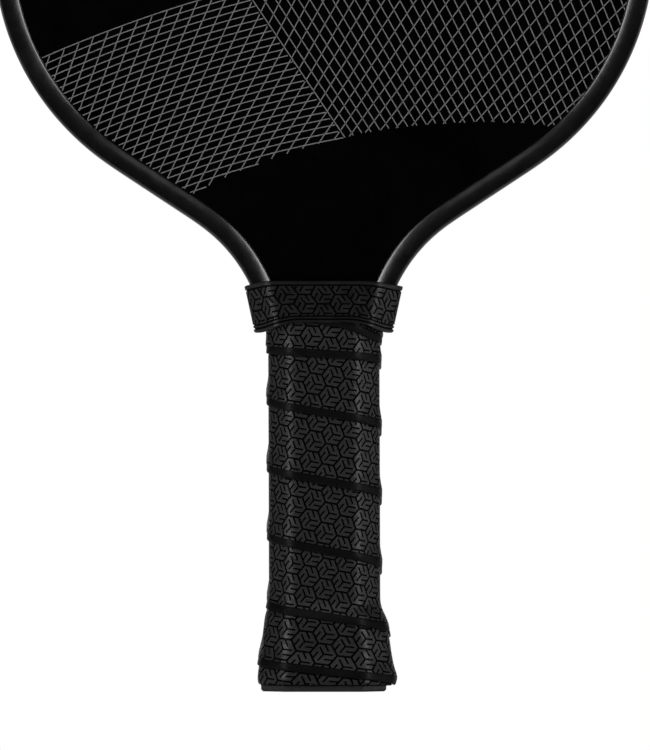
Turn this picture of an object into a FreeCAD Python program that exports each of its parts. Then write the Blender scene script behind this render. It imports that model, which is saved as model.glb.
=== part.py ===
"""A pickleball paddle, as the separate pieces it is glued, stapled and wrapped together from.

Frame: millimetres, +Z from the butt end towards the head, +X to the right, and the front face looks
along -Y. The origin is the centre of the butt end.
"""
import math
import os

import FreeCAD
import Part
import Sketcher

# Driving dimensions: the alias of the cell, its value and what it is.
DIMENSIONS = [
    ("paddle_length", 406.4, "butt end to the top of the head"),
    ("head_width", 203.2, "across the edge guard"),
    ("neck_width", 35.8, "across the edge guard where its two sides run closest"),
    ("neck_height", 104.0, "height of that narrowest place"),
    ("neck_radius", 48.0, "hollow curve between the neck and the flank"),
    ("flank_slope", 33.35, "degrees of the straight flank above the horizontal"),
    ("shoulder_radius", 80.6, "round curve between the flank and the side"),
    ("corner_radius", 74.0, "top corners of the head"),
    ("crown_radius", 250.0, "top edge of the head"),
    ("core_thickness", 13.0, "honeycomb core"),
    ("cell_pitch", 9.5, "honeycomb cells, centre to centre"),
    ("cell_wall", 0.36, "wall between two cells"),
    ("core_rim", 1.2, "solid rim left around the cut cells"),
    ("film_thickness", 0.15, "glue film between core and face sheet"),
    ("sheet_thickness", 0.6, "face sheet"),
    ("guard_wall", 2.5, "edge guard, outside the rim of the face sheets"),
    ("guard_width", 6.2, "edge guard, seen from the front"),
    ("guard_thickness", 17.4, "edge guard, front to back"),
    ("guard_roundness", 4.2, "rounded shoulders of the guard's section"),
    ("guard_crown", 24.0, "flatter curve of the guard's section between its shoulders"),
    ("guard_lip_round", 0.45, "rounding of the lip where it meets the face"),
    ("guard_glue", 0.1, "adhesive between edge guard and rim"),
    ("guard_end_height", 117.0, "where the edge guard stops, inside the collar"),
    ("handle_thickness", 26.4, "bare handle, front to back"),
    ("handle_bevel", 5.4, "bevels that make the bare handle an octagon"),
    ("handle_bottom", 3.0, "bottom of the bare handle, on the cap's floor"),
    ("pallet_top", 115.0, "top of the handle pallets"),
    ("pallet_glue", 0.15, "double-sided tape under each pallet"),
    ("tape_thickness", 1.7, "grip tape"),
    ("tape_glue", 0.1, "sticky backing of the grip tape"),
    ("tape_bottom", 1.8, "bottom edge of the grip tape"),
    ("tape_top", 114.6, "top edge of the grip tape, inside the collar"),
    ("tape_top_flare", 1.2, "extra half width where the tape climbs the neck"),
    ("cap_width", 38.4, "butt cap at its bottom edge"),
    ("cap_thickness", 34.6, "butt cap at its bottom edge, front to back"),
    ("cap_bevel", 7.0, "bevels of the butt cap at its bottom edge"),
    ("cap_rim_height", 4.0, "height of the widest part of the butt cap"),
    ("cap_swell", 0.1, "how far the widest part stands out past the bottom edge"),
    ("cap_height", 24.0, "butt cap, to its top edge"),
    ("cap_step", 3.0, "height over which the tape comes down from the cap to the handle"),
    ("cap_wall", 1.0, "butt cap wall at its top edge"),
    ("cap_edge_round", 0.6, "broken edge around the cap's bottom"),
    ("badge_radius", 10.0, "blank badge in the end of the cap"),
    ("badge_thickness", 0.8, "blank badge"),
    ("badge_recess", 1.1, "depth of the badge's seat"),
    ("badge_gap", 0.1, "gap around the badge"),
    ("staple_height", 18.0, "height of the staples"),
    ("staple_spacing", 11.0, "between the two staples on one face, centre to centre"),
    ("staple_crown", 6.0, "staple, along its crown"),
    ("staple_leg", 4.0, "staple leg inside the pallet"),
    ("staple_wire", 0.9, "staple wire, square"),
    ("staple_seat", 0.8, "cap wall left under the staples' crowns"),
    ("band_width", 1.8, "finishing tape"),
    ("band_thickness", 0.15, "finishing tape"),
    ("collar_bottom", 110.6, "bottom edge of the collar"),
    ("collar_top", 125.0, "top edge of the collar"),
    ("collar_bottom_width", 42.4, "collar at its bottom edge"),
    ("collar_top_width", 48.6, "collar at its top edge"),
    ("collar_bottom_thickness", 35.6, "collar at its bottom edge, front to back"),
    ("collar_top_thickness", 31.0, "collar at its top edge, front to back"),
    ("collar_bevel", 7.5, "bevels of the collar"),
    ("collar_wall", 1.3, "collar wall"),
    ("fit_gap", 0.02, "gap left between a wrapped piece and what it is wrapped on"),
]

# Lengths that several pieces share, as expressions on the sheet's cells.
D = "Dimensions."
RIM_INSET = f"{D}guard_wall + {D}guard_glue"
TONGUE_HALF = f"({D}neck_width / 2 - {RIM_INSET.replace(' + ', ' - ')})"
HANDLE_HALF = f"{D}handle_thickness / 2"
FACE_LEVEL = f"({D}core_thickness / 2 + {D}film_thickness + {D}sheet_thickness)"


def dimension_sheet(doc):
    """The spreadsheet of driving dimensions: a note, a plain number and its alias per row."""
    sheet = doc.addObject("Spreadsheet::Sheet", "Dimensions")
    for row, (alias, value, note) in enumerate(DIMENSIONS, start=1):
        sheet.set(f"A{row}", note)
        sheet.set(f"B{row}", str(value))
        sheet.setAlias(f"B{row}", alias)
    doc.recompute()
    return sheet


doc = FreeCAD.newDocument("PickleballPaddle")
sheet = dimension_sheet(doc)


def value(expression):
    """The number that an expression on the sheet's cells has now."""
    return float(sheet.evalExpression(expression))


def new_body(name):
    """A body whose Label names its node."""
    body = doc.addObject("PartDesign::Body", name)
    body.Label = name
    return body


def new_sketch(body, name, plane, offset="0"):
    """A sketch on one of the body's origin planes, moved along the plane's normal by offset."""
    sketch = body.newObject("Sketcher::SketchObject", name)
    origin_plane = next(f for f in body.Origin.OriginFeatures if f.Role == plane)
    sketch.AttachmentSupport = [(origin_plane, "")]
    sketch.MapMode = "FlatFace"
    sketch.setExpression("AttachmentOffset.Base.z", offset)
    return sketch


def bind(sketch, kind, *where, to):
    """A constraint whose size follows an expression."""
    size = value(to)
    if kind == "Angle":
        size = math.radians(size)
    number = sketch.addConstraint(Sketcher.Constraint(kind, *where, size))
    sketch.setExpression(f"Constraints[{number}]", to)


def polygon(sketch, corners):
    """A closed outline through corners given as pairs of expressions."""
    first = sketch.GeometryCount
    count = len(corners)
    points = [FreeCAD.Vector(value(x), value(y), 0) for x, y in corners]
    for i in range(count):
        sketch.addGeometry(Part.LineSegment(points[i], points[(i + 1) % count]), False)
    for i, (x, y) in enumerate(corners):
        here = first + i
        sketch.addConstraint(Sketcher.Constraint("Coincident", here, 2, first + (i + 1) % count, 1))
        bind(sketch, "DistanceX", -1, 1, here, 1, to=x)
        bind(sketch, "DistanceY", -1, 1, here, 1, to=y)


def polar(centre, radius, degrees):
    """The point at an angle on a circle."""
    turn = math.radians(degrees)
    return centre + radius * FreeCAD.Vector(math.cos(turn), math.sin(turn), 0)


def arc(centre, radius, start, end):
    """An anticlockwise arc between two angles in degrees."""
    circle = Part.Circle(centre, FreeCAD.Vector(0, 0, 1), radius)
    return Part.ArcOfCircle(circle, math.radians(start), math.radians(end))


def half_outline(body, name, inset, offset="0", bottom=None, end_height=None):
    """The right half of the paddle's front outline, moved inwards by inset.

    From the bottom: hollow neck arc, straight flank, shoulder arc, straight side, corner arc and
    crown arc, each tangent to the next. With bottom, the tongue's side, bottom edge and the middle
    line close it. With end_height it stays open and the neck arc stops at that height.
    """
    sketch = new_sketch(body, name, "XZ_Plane", offset)
    neck_radius = f"{D}neck_radius + ({inset})"
    shoulder_radius = f"{D}shoulder_radius - ({inset})"
    corner_radius = f"{D}corner_radius - ({inset})"
    crown_radius = f"{D}crown_radius - ({inset})"
    side = f"{D}head_width / 2 - ({inset})"
    top = f"{D}paddle_length - ({inset})"
    neck_centre = f"{D}neck_width / 2 + {D}neck_radius"

    # Where the arcs' centres and ends fall.
    slope = value(f"{D}flank_slope")
    neck = FreeCAD.Vector(value(neck_centre), value(f"{D}neck_height"), 0)
    flank_start = polar(neck, value(neck_radius), 90 + slope)
    shoulder_x = value(side) - value(shoulder_radius)
    flank_end_x = shoulder_x + value(shoulder_radius) * math.sin(math.radians(slope))
    rise = (flank_end_x - flank_start.x) * math.tan(math.radians(slope))
    flank_end = FreeCAD.Vector(flank_end_x, flank_start.y + rise, 0)
    shoulder = polar(flank_end, -value(shoulder_radius), slope - 90)
    crown = FreeCAD.Vector(0, value(top) - value(crown_radius), 0)
    corner_x = value(side) - value(corner_radius)
    corner_reach = value(crown_radius) - value(corner_radius)
    corner_turn = math.degrees(math.acos(corner_x / corner_reach))
    corner = polar(crown, corner_reach, corner_turn)
    if end_height:
        neck_end = 180 - math.degrees(math.asin((value(end_height) - neck.y) / value(neck_radius)))
    else:
        neck_end = 180

    side_bottom = polar(shoulder, value(shoulder_radius), 0)
    side_top = polar(corner, value(corner_radius), 0)
    sketch.addGeometry(
        [
            arc(neck, value(neck_radius), 90 + slope, neck_end),
            Part.LineSegment(flank_start, flank_end),
            arc(shoulder, value(shoulder_radius), slope - 90, 0),
            Part.LineSegment(side_bottom, side_top),
            arc(corner, value(corner_radius), 0, corner_turn),
            arc(crown, value(crown_radius), corner_turn, 90),
        ],
        False,
    )
    neck_arc, flank, shoulder_arc, side_line, corner_arc, crown_arc = range(6)
    joints = [
        (neck_arc, 1, flank, 1),
        (flank, 2, shoulder_arc, 1),
        (shoulder_arc, 2, side_line, 1),
        (side_line, 2, corner_arc, 1),
        (corner_arc, 2, crown_arc, 1),
    ]
    for joint in joints:
        sketch.addConstraint(Sketcher.Constraint("Tangent", *joint))
    sketch.addConstraint(Sketcher.Constraint("Vertical", side_line))
    sketch.addConstraint(Sketcher.Constraint("PointOnObject", crown_arc, 3, -2))
    sketch.addConstraint(Sketcher.Constraint("PointOnObject", crown_arc, 2, -2))
    bind(sketch, "DistanceX", -1, 1, neck_arc, 3, to=neck_centre)
    bind(sketch, "DistanceY", -1, 1, neck_arc, 3, to=f"{D}neck_height")
    bind(sketch, "Radius", neck_arc, to=neck_radius)
    bind(sketch, "Angle", flank, to=f"{D}flank_slope")
    bind(sketch, "Radius", shoulder_arc, to=shoulder_radius)
    bind(sketch, "DistanceX", -1, 1, side_line, 1, to=side)
    bind(sketch, "Radius", corner_arc, to=corner_radius)
    bind(sketch, "Radius", crown_arc, to=crown_radius)
    bind(sketch, "DistanceY", -1, 1, crown_arc, 2, to=top)
    if end_height:
        bind(sketch, "DistanceY", -1, 1, neck_arc, 2, to=end_height)
    else:
        close_outline(sketch, neck_arc, crown_arc, bottom)
    return sketch


def close_outline(sketch, neck_arc, crown_arc, bottom):
    """Adds the tongue's side, its bottom edge and the middle line to a half outline."""
    neck_foot = sketch.getPoint(neck_arc, 2)
    crown_top = sketch.getPoint(crown_arc, 2)
    side_foot = FreeCAD.Vector(neck_foot.x, value(bottom), 0)
    middle_foot = FreeCAD.Vector(0, value(bottom), 0)
    tongue = sketch.addGeometry(Part.LineSegment(side_foot, neck_foot), False)
    foot = sketch.addGeometry(Part.LineSegment(middle_foot, side_foot), False)
    middle = sketch.addGeometry(Part.LineSegment(crown_top, middle_foot), False)
    sketch.addConstraint(Sketcher.Constraint("Tangent", tongue, 2, neck_arc, 2))
    sketch.addConstraint(Sketcher.Constraint("Vertical", tongue))
    sketch.addConstraint(Sketcher.Constraint("Coincident", foot, 2, tongue, 1))
    sketch.addConstraint(Sketcher.Constraint("Horizontal", foot))
    sketch.addConstraint(Sketcher.Constraint("Coincident", middle, 2, foot, 1))
    sketch.addConstraint(Sketcher.Constraint("Coincident", middle, 1, crown_arc, 2))
    sketch.addConstraint(Sketcher.Constraint("Vertical", middle))
    bind(sketch, "DistanceY", -1, 1, foot, 1, to=bottom)


def mirror(body, feature, plane="YZ_Plane"):
    """Mirrors a feature in one of the body's origin planes."""
    mirrored = body.newObject("PartDesign::Mirrored", f"{body.Name}_mirror")
    mirrored.Originals = [feature]
    mirrored.MirrorPlane = (next(f for f in body.Origin.OriginFeatures if f.Role == plane), [""])
    body.Tip = mirrored
    return mirrored


def pad(body, sketch, length):
    feature = body.newObject("PartDesign::Pad", f"{sketch.Name}_pad")
    feature.Profile = sketch
    feature.setExpression("Length", length)
    return feature


def pocket(body, sketch, length, reverse=False):
    feature = body.newObject("PartDesign::Pocket", f"{sketch.Name}_pocket")
    feature.Profile = sketch
    feature.Reversed = reverse
    feature.setExpression("Length", length)
    return feature


def sandwich_layer(name, level, thickness):
    """One flat layer with the full outline; level is its back surface, counted towards the front."""
    body = new_body(name)
    sketch = half_outline(body, f"{name}_outline", RIM_INSET, offset=level, bottom=f"{D}handle_bottom")
    mirror(body, pad(body, sketch, thickness))
    return body


def honeycomb_core(film):
    """The core: a plate of hexagonal cells open towards both glue films, cut to the outline.

    Its hundreds of cells are cut in one flat face, which is then raised to the core's thickness.
    """
    half = value(f"{D}core_thickness") / 2
    pitch = value(f"{D}cell_pitch")
    radius = (pitch - value(f"{D}cell_wall")) / math.sqrt(3)
    row_height = pitch * math.sqrt(3) / 2
    glued = max(film.Shape.Faces, key=lambda face: face.Area + face.CenterOfMass.y)
    plate = Part.Face(glued.OuterWire)
    plate.translate(FreeCAD.Vector(0, half - plate.CenterOfMass.y, 0))
    inside = plate.makeOffset2D(-value(f"{D}core_rim"))
    box = plate.BoundBox

    cells = []
    for row in range(math.ceil(box.ZLength / row_height)):
        height = box.ZMin + row * row_height
        columns = math.ceil(box.XLength / 2 / pitch) + 1
        for column in range(-columns, columns + 1):
            centre = FreeCAD.Vector((column + row % 2 / 2) * pitch, half, height)
            corners = [hexagon_corner(centre, radius, k) for k in range(7)]
            cells.append(Part.Face(Part.makePolygon(corners)))
    open_cells = Part.makeCompound(cells).common(inside)
    smallest = radius * radius / 4
    holes = [cell.OuterWire.reversed() for cell in open_cells.Faces if cell.Area > smallest]

    core = doc.addObject("Part::Feature", "honeycomb_core")
    core.Label = "honeycomb_core"
    core.Shape = Part.Face([plate.OuterWire, *holes]).extrude(FreeCAD.Vector(0, -2 * half, 0))
    core.Placement = FreeCAD.Placement()
    return core


def hexagon_corner(centre, radius, number):
    """Corner of an upright hexagon standing in the XZ plane."""
    turn = number * math.pi / 3
    return centre + radius * FreeCAD.Vector(math.sin(turn), 0, math.cos(turn))


GUARD_FACE = f"({FACE_LEVEL} + {D}guard_glue)"
GUARD_LIP = f"({D}paddle_length - {D}guard_width)"
GUARD_FLOOR = f"({D}paddle_length - {D}guard_wall)"


def guard_section(body):
    """The guard's section at the crown: round outside, rounded lips, square channel for the rim."""
    sketch = new_sketch(body, "guard_section", "YZ_Plane")
    shoulder_middle = f"({D}guard_thickness / 2 - {D}guard_roundness)"
    crown_middle = f"({D}paddle_length - {D}guard_crown)"
    shoulder_radius = value(f"{D}guard_roundness")
    crown_radius = value(f"{D}guard_crown")
    round_off = value(f"{D}guard_lip_round")
    half_slot = value(GUARD_FACE)
    lip = value(GUARD_LIP)
    floor = value(GUARD_FLOOR)

    # Where the arcs' centres and ends fall.
    crown = FreeCAD.Vector(0, value(crown_middle), 0)
    shoulder_turn = math.degrees(math.acos(value(shoulder_middle) / (crown_radius - shoulder_radius)))
    right = polar(crown, crown_radius - shoulder_radius, shoulder_turn)
    left = polar(crown, crown_radius - shoulder_radius, 180 - shoulder_turn)
    lip_turn = -math.degrees(math.asin((right.y - lip - round_off) / (shoulder_radius - round_off)))
    right_lip_round = polar(right, shoulder_radius - round_off, lip_turn)
    left_lip_round = polar(left, shoulder_radius - round_off, 180 - lip_turn)
    sketch.addGeometry(
        [
            arc(right_lip_round, round_off, -90, lip_turn),
            arc(right, shoulder_radius, lip_turn, shoulder_turn),
            arc(crown, crown_radius, shoulder_turn, 180 - shoulder_turn),
            arc(left, shoulder_radius, 180 - shoulder_turn, 180 - lip_turn),
            arc(left_lip_round, round_off, 180 - lip_turn, 270),
        ],
        False,
    )
    channel = [
        (left_lip_round.x, lip),
        (-half_slot, lip),
        (-half_slot, floor),
        (half_slot, floor),
        (half_slot, lip),
        (right_lip_round.x, lip),
    ]
    points = [FreeCAD.Vector(y, z, 0) for y, z in channel]
    sketch.addGeometry([Part.LineSegment(a, b) for a, b in zip(points, points[1:])], False)
    right_round, right_arc, crown_arc, left_arc, left_round = range(5)
    left_lip, left_wall, slot_floor, right_wall, right_lip = range(5, 10)

    # The outline is smooth all the way from one lip's foot to the other's.
    for first, second in [
        (right_lip, right_round),
        (right_round, right_arc),
        (right_arc, crown_arc),
        (crown_arc, left_arc),
        (left_arc, left_round),
        (left_round, left_lip),
    ]:
        sketch.addConstraint(Sketcher.Constraint("Tangent", first, 2, second, 1))
    for line in (left_lip, left_wall, slot_floor, right_wall):
        sketch.addConstraint(Sketcher.Constraint("Coincident", line, 2, line + 1, 1))
    for line in (left_lip, slot_floor, right_lip):
        sketch.addConstraint(Sketcher.Constraint("Horizontal", line))
    for line in (left_wall, right_wall):
        sketch.addConstraint(Sketcher.Constraint("Vertical", line))
    sketch.addConstraint(Sketcher.Constraint("Symmetric", left_wall, 1, right_wall, 2, -2))
    sketch.addConstraint(Sketcher.Constraint("Symmetric", left_arc, 3, right_arc, 3, -2))
    sketch.addConstraint(Sketcher.Constraint("Equal", right_round, left_round))
    sketch.addConstraint(Sketcher.Constraint("PointOnObject", crown_arc, 3, -2))
    bind(sketch, "Radius", crown_arc, to=f"{D}guard_crown")
    bind(sketch, "Radius", right_arc, to=f"{D}guard_roundness")
    bind(sketch, "Radius", right_round, to=f"{D}guard_lip_round")
    bind(sketch, "DistanceY", -1, 1, crown_arc, 3, to=crown_middle)
    bind(sketch, "DistanceX", -1, 1, right_arc, 3, to=shoulder_middle)
    bind(sketch, "DistanceX", -1, 1, right_wall, 2, to=GUARD_FACE)
    bind(sketch, "DistanceY", -1, 1, right_wall, 2, to=GUARD_LIP)
    bind(sketch, "DistanceY", -1, 1, right_wall, 1, to=GUARD_FLOOR)
    return sketch


def guard_glue_section(body):
    """The adhesive's section at the crown: a thin channel between the guard and the rim."""
    rim = f"({D}paddle_length - ({RIM_INSET}))"
    outside = f"({GUARD_FACE} - {D}fit_gap)"
    crest = f"({GUARD_FLOOR} - {D}fit_gap)"
    sketch = new_sketch(body, "guard_glue_section", "YZ_Plane")
    corners = [
        (f"-{outside}", GUARD_LIP),
        (f"-{outside}", crest),
        (outside, crest),
        (outside, GUARD_LIP),
        (FACE_LEVEL, GUARD_LIP),
        (FACE_LEVEL, rim),
        (f"-{FACE_LEVEL}", rim),
        (f"-{FACE_LEVEL}", GUARD_LIP),
    ]
    polygon(sketch, corners)
    return sketch


def rim_channel(name, section):
    """A section drawn at the crown and swept along the outline down into both sides of the neck."""
    body = new_body(name)
    path = half_outline(body, f"{name}_path", "0", end_height=f"{D}guard_end_height")
    sweep = body.newObject("PartDesign::AdditivePipe", f"{name}_sweep")
    sweep.Profile = section(body)
    sweep.Spine = (path, [""])
    mirror(body, sweep)
    return body


def octagon(half_width, half_thickness, bevel):
    """The corners of a bevelled rectangle, as expressions."""
    side = f"({half_thickness} - ({bevel}))"
    front = f"({half_width} - ({bevel}))"
    corners = [(half_width, side), (front, half_thickness)]
    corners += [(f"-{front}", half_thickness), (f"-({half_width})", side)]
    corners += [(f"-({half_width})", f"-{side}"), (f"-{front}", f"-({half_thickness})")]
    corners += [(front, f"-({half_thickness})"), (half_width, f"-{side}")]
    return corners


def grown(section, offset):
    """An octagonal section moved outwards by offset on every side, with bevels still parallel."""
    half_width, half_thickness, bevel = section
    bevel_growth = 2 - math.sqrt(2)
    return (
        f"({half_width} + {offset})",
        f"({half_thickness} + {offset})",
        f"({bevel} + {bevel_growth:.4f} * ({offset}))",
    )


BARE_HANDLE = (TONGUE_HALF, HANDLE_HALF, f"{D}handle_bevel")
CAP_BOTTOM = (f"{D}cap_width / 2", f"{D}cap_thickness / 2", f"{D}cap_bevel")
CAP_RIM = grown(CAP_BOTTOM, f"{D}cap_swell")
CAP_TOP = grown(BARE_HANDLE, f"{D}cap_wall")
TAPE_INSIDE = f"{D}tape_glue"
TAPE_OUTSIDE = f"({D}tape_glue + {D}tape_thickness)"


def tape_flare(height):
    """Extra half width where the wrapping climbs the neck, at a height given as an expression."""
    climb = f"({height} - {D}neck_height) / ({D}tape_top - {D}neck_height)"
    return f"({D}tape_top_flare * {climb})"


def flared(section, extra):
    """A section made wider only, by extra on each side."""
    half_width, half_thickness, bevel = section
    return f"({half_width} + {extra})", half_thickness, bevel


def loft(body, kind, sections):
    """A straight-sided loft through octagonal sections given as (height, section)."""
    sketches = []
    for number, (height, section) in enumerate(sections):
        sketch = new_sketch(body, f"{body.Name}_{kind.lower()}_{number}", "XY_Plane", height)
        polygon(sketch, octagon(*section))
        sketches.append(sketch)
    feature = body.newObject(f"PartDesign::{kind}Loft", f"{body.Name}_{kind.lower()}_loft")
    feature.Profile = sketches[0]
    feature.Sections = sketches[1:]
    feature.Ruled = True
    return feature


def sleeve(name, outer, inner):
    """A hollow wrapping: a loft with a smaller loft taken out of it."""
    body = new_body(name)
    loft(body, "Additive", outer)
    loft(body, "Subtractive", inner)
    return body


def wrapped(offset):
    """The grip's form from the butt to the collar, offset outwards from the cap and the handle."""
    handle = grown(BARE_HANDLE, offset)
    return [
        (f"{D}tape_bottom", grown(CAP_RIM, offset)),
        (f"{D}cap_rim_height", grown(CAP_RIM, offset)),
        (f"{D}cap_height", grown(CAP_TOP, offset)),
        (f"{D}cap_height + {D}cap_step", handle),
        (f"{D}neck_height", handle),
        (f"{D}tape_top", flared(handle, f"{D}tape_top_flare")),
    ]


def grip_glue():
    """The tape's sticky backing on the straight part of the handle."""
    body = new_body("grip_adhesive")
    sketch = new_sketch(body, "grip_adhesive_section", "XY_Plane", f"{D}cap_height + {D}cap_step")
    polygon(sketch, octagon(*grown(BARE_HANDLE, f"{D}tape_glue - {D}fit_gap")))
    polygon(sketch, octagon(*grown(BARE_HANDLE, f"{D}fit_gap")))
    pad(body, sketch, f"{D}neck_height - {D}cap_height - {D}cap_step")
    return body


def finishing_tape():
    """The thin band around the top end of the grip tape."""
    bottom = f"({D}tape_top - {D}band_width)"
    on_tape = grown(BARE_HANDLE, TAPE_OUTSIDE)

    def sections(offset):
        return [
            (bottom, grown(flared(on_tape, tape_flare(bottom)), offset)),
            (f"{D}tape_top", grown(flared(on_tape, f"{D}tape_top_flare"), offset)),
        ]

    return sleeve("finishing_tape", sections(f"{D}fit_gap + {D}band_thickness"), sections(f"{D}fit_gap"))


def grip_collar():
    """The rubber ring: a funnel over the top of the grip and the ends of the edge guard."""

    def sections(wall):
        ends = []
        for end in ("bottom", "top"):
            half_width = f"({D}collar_{end}_width / 2 - {wall})"
            half_thickness = f"({D}collar_{end}_thickness / 2 - {wall})"
            ends.append((f"{D}collar_{end}", (half_width, half_thickness, f"{D}collar_bevel")))
        return ends

    return sleeve("grip_collar", sections("0"), sections(f"{D}collar_wall"))


# The staples' crowns lie in recesses of the cap, and their legs reach into the pallets.
CROWN_BACK = f"({HANDLE_HALF} + {D}staple_seat)"
LEG_TIP = f"({HANDLE_HALF} - {D}staple_leg)"
LEG_LENGTH = f"({D}staple_leg + {D}staple_seat)"


def rectangles(sketch, half_width, offsets, gap):
    """Upright rectangles one wire high at the staples' height, one per offset from the middle."""
    low = f"{D}staple_height - {D}staple_wire / 2 - {gap}"
    high = f"{D}staple_height + {D}staple_wire / 2 + {gap}"
    for offset in offsets:
        left = f"{offset} - {half_width} - {gap}"
        right = f"{offset} + {half_width} + {gap}"
        polygon(sketch, [(left, low), (right, low), (right, high), (left, high)])


def crown_sketch(body, level, gap):
    sketch = new_sketch(body, f"{body.Name}_crowns", "XZ_Plane", level)
    middles = [f"{sign}{D}staple_spacing / 2" for sign in ("-", "")]
    rectangles(sketch, f"{D}staple_crown / 2", middles, gap)
    return sketch


def leg_sketch(body, level, gap):
    sketch = new_sketch(body, f"{body.Name}_legs", "XZ_Plane", level)
    reach = f"({D}staple_crown - {D}staple_wire) / 2"
    legs = [f"{a}{D}staple_spacing / 2 {b} {reach}" for a in ("-", "") for b in ("-", "+")]
    rectangles(sketch, f"{D}staple_wire / 2", legs, gap)
    return sketch


def butt_cap_staples():
    """Four wire staples, two on the front and two on the back, as separate solids."""
    body = new_body("butt_cap_staples")
    body.AllowCompound = True
    crowns = pad(body, crown_sketch(body, CROWN_BACK, "0"), f"{D}staple_wire")
    legs = pad(body, leg_sketch(body, LEG_TIP, "0"), LEG_LENGTH)
    mirrored = mirror(body, crowns, "XZ_Plane")
    mirrored.Originals = [crowns, legs]
    return body


def handle_pallet(name, side):
    """A half shell of the handle; side is -1 for the front one and 1 for the rear one."""
    body = new_body(name)
    base = f"({FACE_LEVEL} + {D}pallet_glue)"
    bevel_start = f"({HANDLE_HALF} - {D}handle_bevel)"
    front = f"({TONGUE_HALF} - {D}handle_bevel)"
    sketch = new_sketch(body, f"{name}_section", "XY_Plane", f"{D}handle_bottom")
    corners = [
        (f"-{TONGUE_HALF}", f"{side} * {base}"),
        (TONGUE_HALF, f"{side} * {base}"),
        (TONGUE_HALF, f"{side} * {bevel_start}"),
        (front, f"{side} * {HANDLE_HALF}"),
        (f"-{front}", f"{side} * {HANDLE_HALF}"),
        (f"-{TONGUE_HALF}", f"{side} * {bevel_start}"),
    ]
    polygon(sketch, corners)
    pad(body, sketch, f"{D}pallet_top - {D}handle_bottom")
    holes = leg_sketch(body, f"{-side} * {LEG_TIP}", f"{D}fit_gap")
    pocket(body, holes, LEG_LENGTH, reverse=side < 0)
    return body


def pallet_tape(name, side):
    """The double-sided tape between a pallet and its face sheet."""
    tape = doc.addObject("Part::Box", name)
    tape.Label = name
    level = FACE_LEVEL if side > 0 else f"-({FACE_LEVEL} + {D}pallet_glue)"
    tape.setExpression("Length", f"2 * {TONGUE_HALF}")
    tape.setExpression("Width", f"{D}pallet_glue")
    tape.setExpression("Height", f"{D}pallet_top - {D}handle_bottom")
    tape.setExpression("Placement.Base.x", f"-{TONGUE_HALF}")
    tape.setExpression("Placement.Base.y", level)
    tape.setExpression("Placement.Base.z", f"{D}handle_bottom")
    return tape


def butt_cap():
    """The flared plastic end cap: a socket for the handle, a badge seat and the staples' recesses."""
    body = new_body("butt_cap")
    sections = [
        ("0", grown(CAP_BOTTOM, f"-{D}cap_edge_round")),
        (f"{D}cap_edge_round", CAP_BOTTOM),
        (f"{D}cap_rim_height", CAP_RIM),
        (f"{D}cap_height", CAP_TOP),
    ]
    loft(body, "Additive", sections)
    socket = new_sketch(body, "butt_cap_socket", "XY_Plane", f"{D}handle_bottom")
    polygon(socket, octagon(*grown(BARE_HANDLE, f"{D}fit_gap")))
    pocket(body, socket, f"{D}cap_height", reverse=True)
    seat = new_sketch(body, "butt_cap_seat", "XY_Plane")
    seat.addGeometry(Part.Circle(FreeCAD.Vector(0, 0, 0), FreeCAD.Vector(0, 0, 1), 1), False)
    seat.addConstraint(Sketcher.Constraint("Coincident", 0, 3, -1, 1))
    bind(seat, "Radius", 0, to=f"{D}badge_radius + {D}badge_gap")
    pocket(body, seat, f"{D}badge_recess", reverse=True)
    crowns = pocket(body, crown_sketch(body, CROWN_BACK, f"{D}fit_gap"), HANDLE_HALF, reverse=True)
    legs = pocket(body, leg_sketch(body, LEG_TIP, f"{D}fit_gap"), LEG_LENGTH, reverse=True)
    mirrored = mirror(body, crowns, "XZ_Plane")
    mirrored.Originals = [crowns, legs]
    return body


def butt_cap_badge():
    """The blank disc glued into the cap's end, set back a little from its bottom face."""
    badge = doc.addObject("Part::Cylinder", "butt_cap_badge")
    badge.Label = "butt_cap_badge"
    badge.setExpression("Radius", f"{D}badge_radius")
    badge.setExpression("Height", f"{D}badge_thickness")
    badge.setExpression("Placement.Base.z", f"{D}badge_recess - {D}badge_thickness")
    return badge


def paddle():
    """Every sub-part, from the inside out."""
    half_core = f"{D}core_thickness / 2"
    film = f"{D}film_thickness"
    sheet_thickness = f"{D}sheet_thickness"
    front_film = sandwich_layer("front_bond_film", half_core, film)
    pieces = [
        front_film,
        sandwich_layer("rear_bond_film", f"-{half_core} - {film}", film),
        sandwich_layer("front_face_sheet", f"{half_core} + {film}", sheet_thickness),
        sandwich_layer("rear_face_sheet", f"-{half_core} - {film} - {sheet_thickness}", sheet_thickness),
        rim_channel("edge_guard", guard_section),
        rim_channel("edge_guard_adhesive", guard_glue_section),
        handle_pallet("front_handle_pallet", -1),
        handle_pallet("rear_handle_pallet", 1),
        pallet_tape("front_pallet_adhesive", -1),
        pallet_tape("rear_pallet_adhesive", 1),
        butt_cap(),
        butt_cap_badge(),
        butt_cap_staples(),
        grip_glue(),
        sleeve("grip_tape", wrapped(TAPE_OUTSIDE), wrapped(TAPE_INSIDE)),
        finishing_tape(),
        grip_collar(),
    ]
    doc.recompute()
    pieces.append(honeycomb_core(front_film))
    doc.recompute()
    return pieces


def check(pieces):
    """Stops with the names of features that failed and pieces that aren't valid solids."""
    failed = [o.Name for o in doc.Objects if {"Invalid", "Error"} & set(o.State)]
    if failed:
        raise SystemExit(f"failed features: {failed}")
    for piece in pieces:
        if piece.Shape.isNull() or not piece.Shape.isValid() or not piece.Shape.Solids:
            raise SystemExit(f"{piece.Label} is not a valid solid")


def export(pieces):
    """Writes each piece to a file named after its node."""
    os.makedirs("parts", exist_ok=True)
    for piece in pieces:
        piece.Shape.exportStep(f"parts/{piece.Label}.step")
        print(f"{piece.Label}: {len(piece.Shape.Solids)} solid(s), {piece.Shape.Volume:.1f} mm3")


pieces = paddle()
check(pieces)
export(pieces)
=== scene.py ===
import math

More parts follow.
